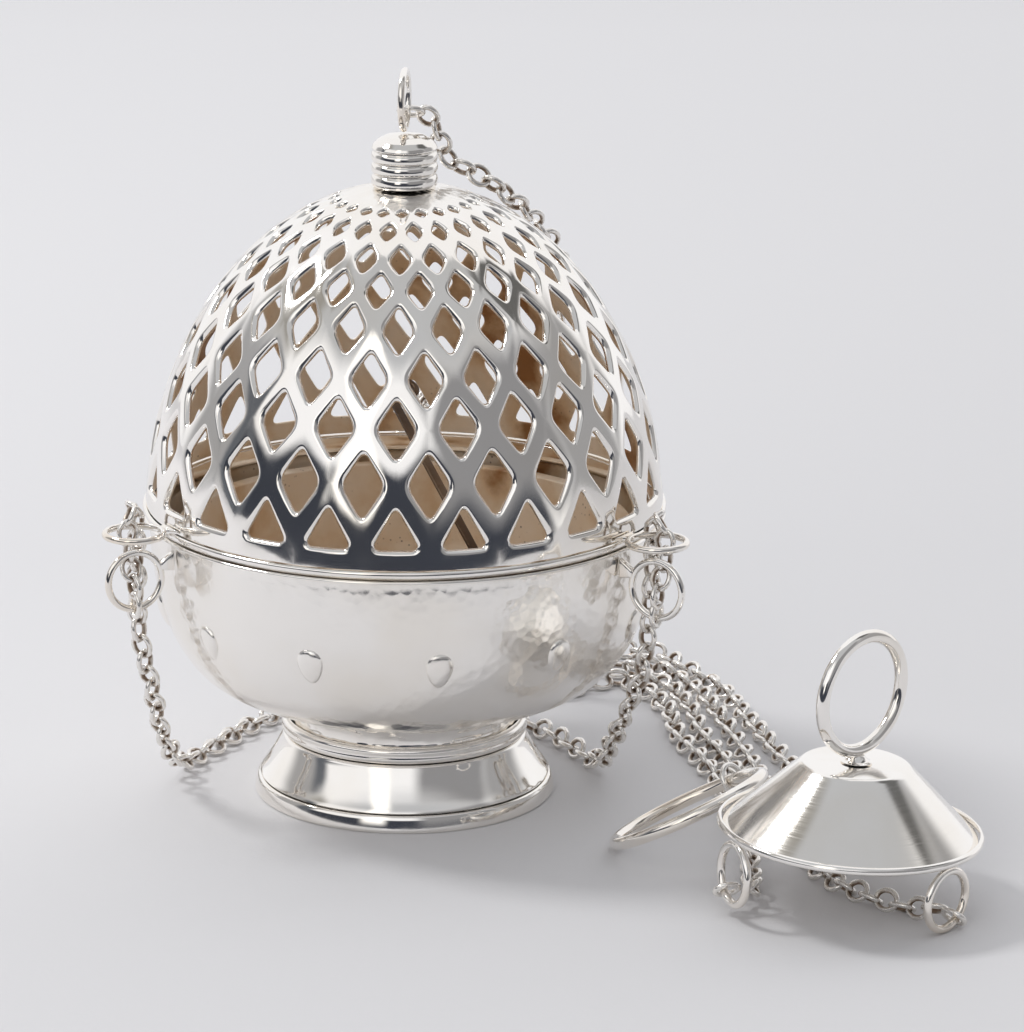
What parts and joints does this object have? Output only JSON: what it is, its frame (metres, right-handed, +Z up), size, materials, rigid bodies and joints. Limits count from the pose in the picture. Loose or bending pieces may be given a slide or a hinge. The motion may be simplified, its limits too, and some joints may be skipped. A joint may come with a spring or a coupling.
{
  "type": "censer",
  "caption": "Censer with a hammered bowl on a spun foot, an egg-shaped lozenge-pierced cover, a charcoal pan inside, side and centre chains, a cone-shaped hand-piece and a lifting ring.",
  "frame": {"origin": "on the floor, under the middle of the bounding box of everything but the chains", "axes": "+Z up, the front of the censer towards -Y, the hand-piece towards +X and -Y"},
  "size_m": [0.2304, 0.268, 0.2015],
  "materials": {
    "silver": "polished silver, hammered on the bowl",
    "chain_silver": "darkened silver wire",
    "tarnished_silver": "tan and brown tarnish from the charcoal"
  },
  "bodies": {
    "censer_base": {"foot": "silver", "foot_base_band": "silver", "foot_moulding": "silver", "bowl": "silver", "bowl_rim_wire": "silver", "bowl_ring_left": "silver", "bowl_ring_right": "silver", "bowl_ring_back": "silver", "bowl_link_left": "chain_silver", "bowl_link_right": "chain_silver", "bowl_link_back": "chain_silver", "chain_left": "chain_silver", "chain_right": "chain_silver", "chain_back": "chain_silver", "chain_centre": "chain_silver"},
    "cover": {"cover_dome": "silver", "cover_rim": "silver", "guide_ring_left": "silver", "guide_ring_right": "silver", "guide_ring_back": "silver", "finial": "silver", "finial_nut": "tarnished_silver", "finial_ring": "silver", "finial_link": "chain_silver"},
    "pan": {"coal_pan": "tarnished_silver", "pan_lug": "tarnished_silver"},
    "pan_strap": {"pan_handle": "tarnished_silver"},
    "hand_piece": {"hand_plate": "silver", "hand_plate_wire": "silver", "hand_ring_seat": "silver", "hand_ring": "silver", "hand_eye_left": "silver", "hand_eye_right": "silver", "hand_eye_back": "silver", "eye_link_left": "chain_silver", "eye_link_right": "chain_silver", "eye_link_back": "chain_silver"},
    "lift": {"lifting_ring": "silver", "lift_link": "silver"}
  },
  "joints": [
    {"name": "cover_lift", "type": "slide", "parent": "censer_base", "child": "cover", "axis": [0, 0, 1], "range_m": [0, 0.05], "deforming": ["chain_left", "chain_right", "chain_back", "chain_centre"]},
    {"name": "pan_lift", "type": "slide", "parent": "censer_base", "child": "pan", "axis": [0, 0, 1], "range_m": [0, 0.03]},
    {"name": "pan_handle_swing", "type": "hinge", "parent": "pan", "child": "pan_strap", "pos_m": [-0.01452, -0.03335, 0.0797], "axis": [0.9342, 0.3567, 0], "range_deg": [-13, 12]},
    {"name": "hand_piece_lift", "type": "slide", "parent": "censer_base", "child": "hand_piece", "axis": [0, 0, 1], "range_m": [0, 0.04], "deforming": ["chain_left", "chain_right", "chain_back"]},
    {"name": "lifting_ring_lift", "type": "slide", "parent": "censer_base", "child": "lift", "axis": [0, 0, 1], "range_m": [0, 0.03], "deforming": ["chain_centre"]}
  ]
}
